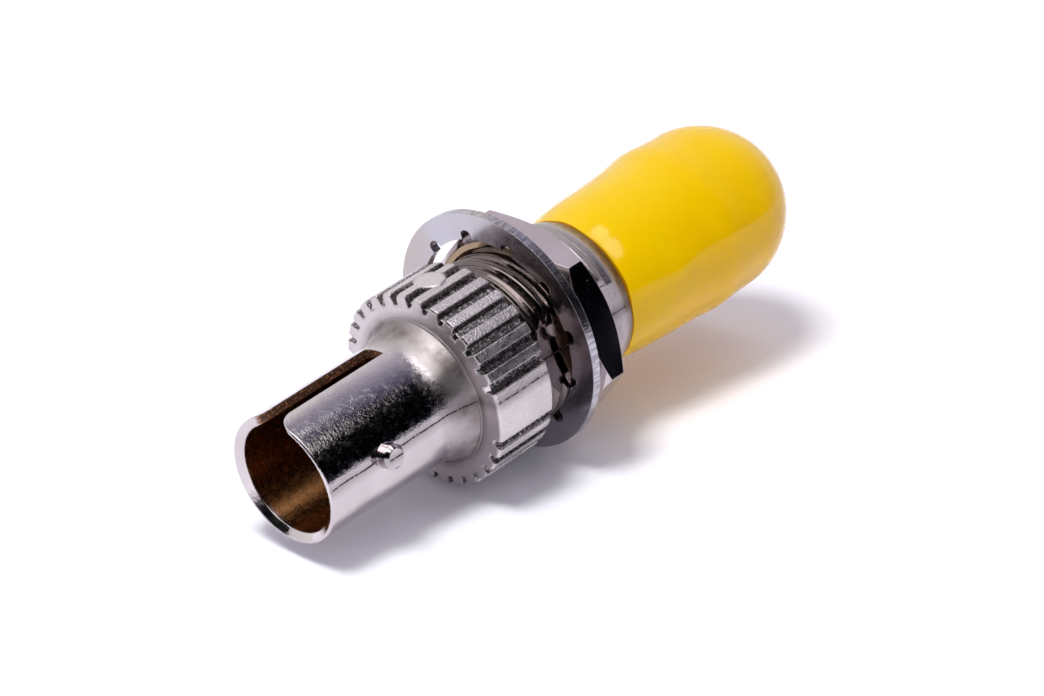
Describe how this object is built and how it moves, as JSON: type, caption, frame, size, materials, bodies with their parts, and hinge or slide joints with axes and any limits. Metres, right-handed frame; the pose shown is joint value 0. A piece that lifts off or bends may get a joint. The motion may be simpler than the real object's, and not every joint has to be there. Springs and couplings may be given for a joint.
{
  "type": "simplex bayonet fibre adapter",
  "caption": "Panel-mount optical fibre adapter: bayonet barrel with keyway at each end, ribbed flange, flatted threaded shank with lock washer and hex nut, and a soft dust cap on one end.",
  "frame": {"origin": "centre of the flange's rear face, which seats on the panel, on the adapter's axis", "axes": "+X along the axis from the open front barrel to the capped rear barrel, +Z through both keyways, Y through the bayonet lugs"},
  "size_m": [0.0365, 0.0135, 0.0135],
  "materials": {
    "nickel_plated_zinc": "satin nickel plate over a zinc die casting",
    "sleeve_bronze": "bare phosphor bronze",
    "retainer_brass": "nickel-plated turned brass",
    "zinc_plated_steel": "bright blue-passivated zinc plate",
    "nickel_plated_nut": "bright nickel plate over turned brass",
    "yellow_vinyl": "glossy dipped vinyl"
  },
  "bodies": {
    "housing": {"adapter_housing": "nickel_plated_zinc", "split_sleeve": "sleeve_bronze", "sleeve_retainer": "retainer_brass"},
    "washer": {"lock_washer": "zinc_plated_steel"},
    "nut": {"hex_nut": "nickel_plated_nut"},
    "cap": {"dust_cap": "yellow_vinyl"}
  },
  "joints": [
    {"name": "washer_slide", "type": "slide", "parent": "housing", "child": "washer", "axis": [1, 0, 0], "range_m": [-0.00195, 0.002]},
    {"name": "nut_turn", "type": "hinge", "parent": "washer", "child": "nut", "pos_m": [0.0041, 0, 0], "axis": [1, 0, 0], "range_deg": [-884.5, 907]},
    {"name": "cap_pull", "type": "slide", "parent": "housing", "child": "cap", "axis": [1, 0, 0], "range_m": [0, 0.012]}
  ],
  "couplings": [
    {"joint": "nut_turn", "follows": "washer_slide", "rad_per_m": 7913.3}
  ]
}
